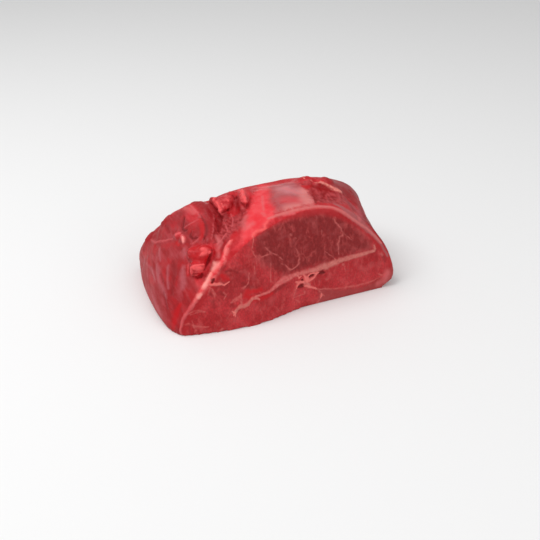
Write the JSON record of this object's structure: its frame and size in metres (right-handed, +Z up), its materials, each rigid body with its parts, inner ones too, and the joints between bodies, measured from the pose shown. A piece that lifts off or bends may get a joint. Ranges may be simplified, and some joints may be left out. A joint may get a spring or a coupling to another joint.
{
  "type": "beef chuck blade",
  "caption": "Raw beef chuck blade roast: a thick slice with a leaning cut face, a curved skin side, a seam ridge and torn crags",
  "frame": {"origin": "middle of the bounding box at the flat underside", "axes": "+X along the front cut face, the longest side; +Y from the front cut to the back cut; +Z up, the shortest side"},
  "size_m": [0.1848, 0.1176, 0.0737],
  "materials": {
    "raw_beef": "moist raw meat with pale marbling, a gristle line and thin silver skin"
  },
  "bodies": {
    "root": {"chuck_blade": "raw_beef"}
  },
  "joints": []
}
